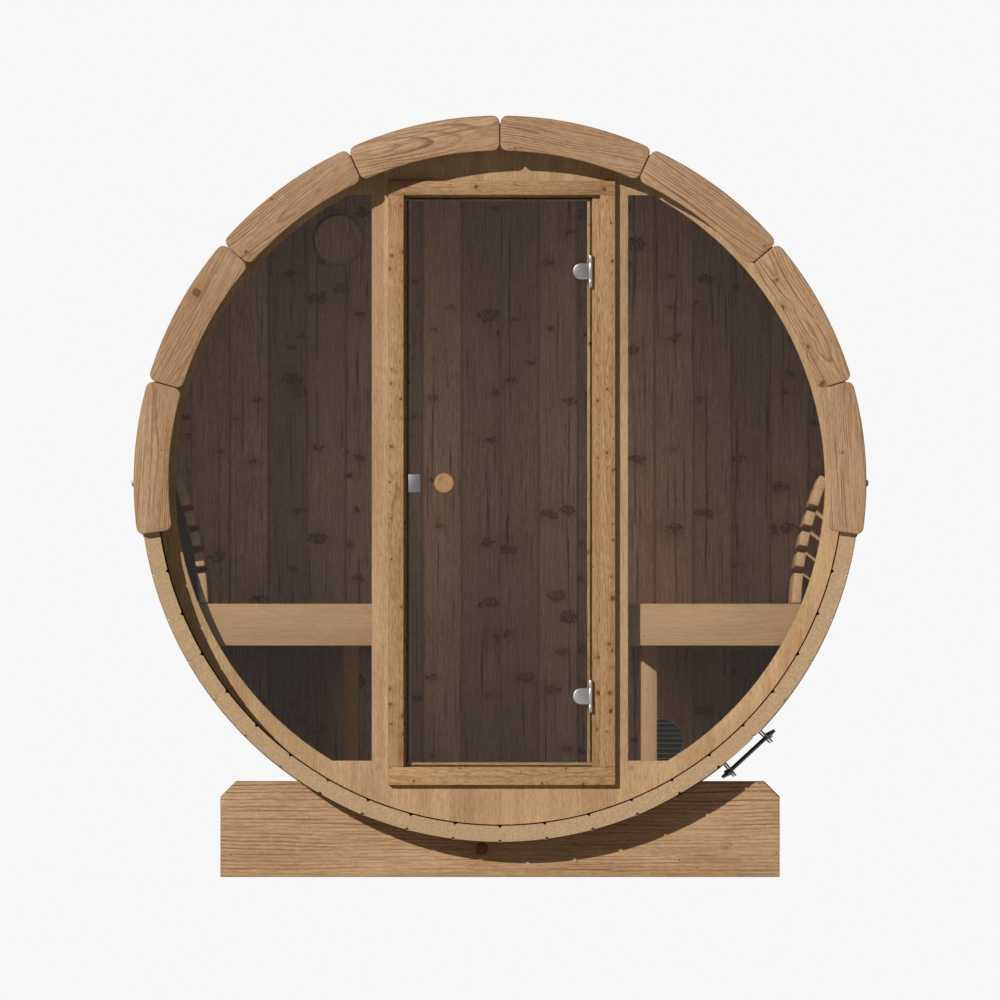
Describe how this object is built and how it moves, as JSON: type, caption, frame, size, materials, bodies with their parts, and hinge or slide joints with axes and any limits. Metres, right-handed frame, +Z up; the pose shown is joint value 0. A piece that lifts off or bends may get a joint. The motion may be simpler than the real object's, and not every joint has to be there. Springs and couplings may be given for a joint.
{
  "type": "barrel sauna",
  "caption": "Round wooden barrel sauna on two cradles, with a glazed front wall, a hinged glass door, benches with backrests and a boarded rear wall.",
  "frame": {"origin": "ground level under the middle of the barrel", "axes": "+Z up, the front with the door faces -Y, +X to the right seen from the front"},
  "size_m": [2.0936, 1.854, 2.1568],
  "materials": {
    "stave_wood": "planed softwood staves",
    "trim_wood": "planed knotty pine",
    "pale_wood": "planed pale softwood",
    "casing_wood": "planed knotty pine",
    "dark_wood": "heat-treated softwood boards",
    "bench_wood": "smooth knot-free wood",
    "cradle_wood": "planed pine plank",
    "band_steel": "satin stainless strap",
    "hinge_steel": "satin metal",
    "vent_metal": "dark grey paint",
    "clear_glass": "clear toughened glass",
    "knob_wood": "turned and sanded"
  },
  "bodies": {
    "root": {"staves_1": "stave_wood", "staves_2": "stave_wood", "staves_3": "stave_wood", "staves_4": "stave_wood", "staves_5": "stave_wood", "staves_6": "stave_wood", "staves_7": "stave_wood", "staves_8": "stave_wood", "front_trim": "trim_wood", "rear_trim": "trim_wood", "front_base_panel": "pale_wood", "front_head_panel": "pale_wood", "front_rim_left": "pale_wood", "front_rim_right": "pale_wood", "front_post_left": "pale_wood", "front_post_right": "pale_wood", "floor_joists": "pale_wood", "floor_boards": "pale_wood", "door_jamb_left": "casing_wood", "door_jamb_right": "casing_wood", "door_head": "casing_wood", "door_sill": "casing_wood", "window_left": "clear_glass", "window_right": "clear_glass", "frame_hinge_leaves": "hinge_steel", "rear_wall_left": "dark_wood", "rear_wall_middle": "dark_wood", "rear_wall_right": "dark_wood", "upper_vent_cover": "dark_wood", "lower_vent_grille": "vent_metal", "outer_vent_grilles": "vent_metal", "bench_frame_left": "bench_wood", "bench_frame_right": "bench_wood", "bench_legs_left": "bench_wood", "bench_legs_right": "bench_wood", "bench_seat_left": "bench_wood", "bench_seat_right": "bench_wood", "backrest_left": "bench_wood", "backrest_right": "bench_wood", "front_cradle": "cradle_wood", "rear_cradle": "cradle_wood", "front_band": "band_steel", "rear_band": "band_steel", "front_band_tightener": "band_steel", "rear_band_tightener": "band_steel"},
    "door": {"door_glass": "clear_glass", "door_hinge_clamps": "hinge_steel", "door_knobs": "knob_wood", "door_catch": "hinge_steel"}
  },
  "joints": [
    {"name": "door_hinge", "type": "hinge", "parent": "root", "child": "door", "pos_m": [0.2565, -0.828, 1.1], "axis": [0, 0, 1], "range_deg": [0, 110]}
  ]
}
